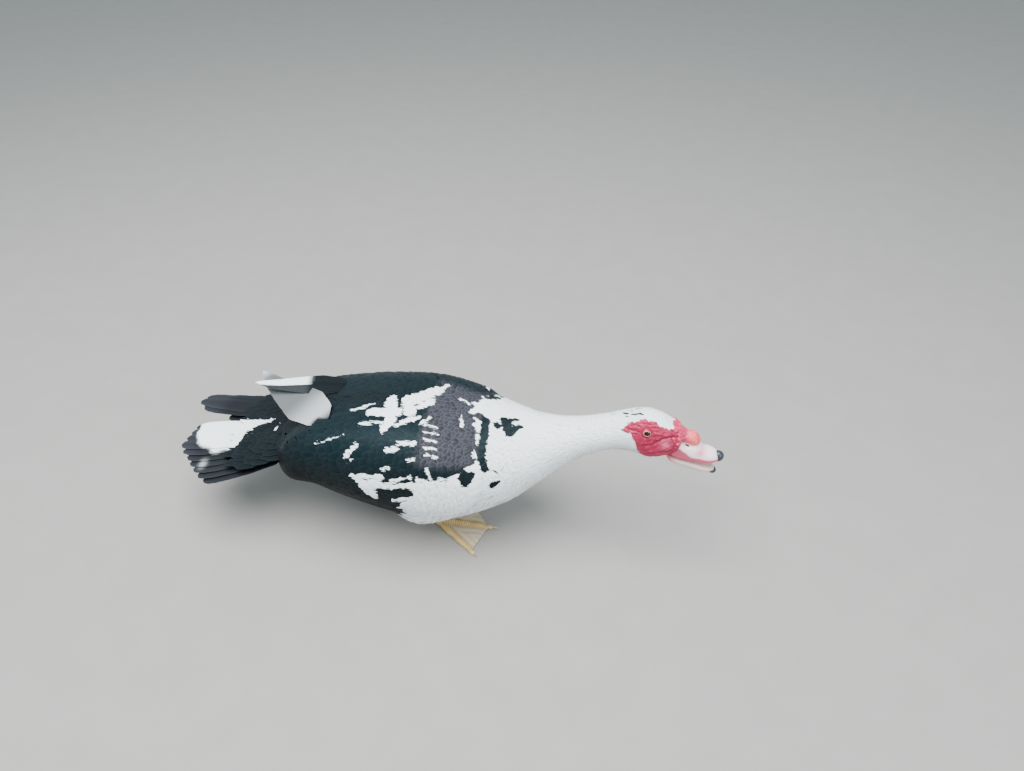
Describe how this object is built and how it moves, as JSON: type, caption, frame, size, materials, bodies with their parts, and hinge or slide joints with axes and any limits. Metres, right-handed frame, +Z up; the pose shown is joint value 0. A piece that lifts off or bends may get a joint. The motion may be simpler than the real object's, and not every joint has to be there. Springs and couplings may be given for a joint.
{
  "type": "muscovy duck",
  "caption": "Life-size still model of a pied black and white muscovy drake, walking with its neck stretched forward and bill a little open.",
  "frame": {"origin": "on the floor, under the middle of the whole bird", "axes": "+X forward along the bird, +Y to its left, +Z up"},
  "size_m": [0.7682, 0.2174, 0.237],
  "materials": {
    "dark_feather": "black feathers with a green gloss",
    "white_feather": "soft matt white feathers",
    "bare_skin": "moist red wrinkled skin",
    "bill_horn": "smooth pale pink horn",
    "dark_horn": "smooth blue-black horn",
    "eye": "wet and glossy",
    "foot_skin": "dry scaly skin, ochre with grey webs"
  },
  "bodies": {
    "root": {"trunk": "dark_feather", "neck": "white_feather", "head": "white_feather", "caruncle": "bare_skin", "bill_upper": "bill_horn", "bill_lower": "bill_horn", "nail_upper": "dark_horn", "nail_lower": "dark_horn", "tail": "dark_feather", "eye_right": "eye", "wing_right": "dark_feather", "flight_right": "white_feather", "thigh_right": "white_feather", "shank_right": "foot_skin", "foot_right": "foot_skin", "eye_left": "eye", "wing_left": "dark_feather", "flight_left": "white_feather", "thigh_left": "white_feather", "shank_left": "foot_skin", "foot_left": "foot_skin"}
  },
  "joints": []
}
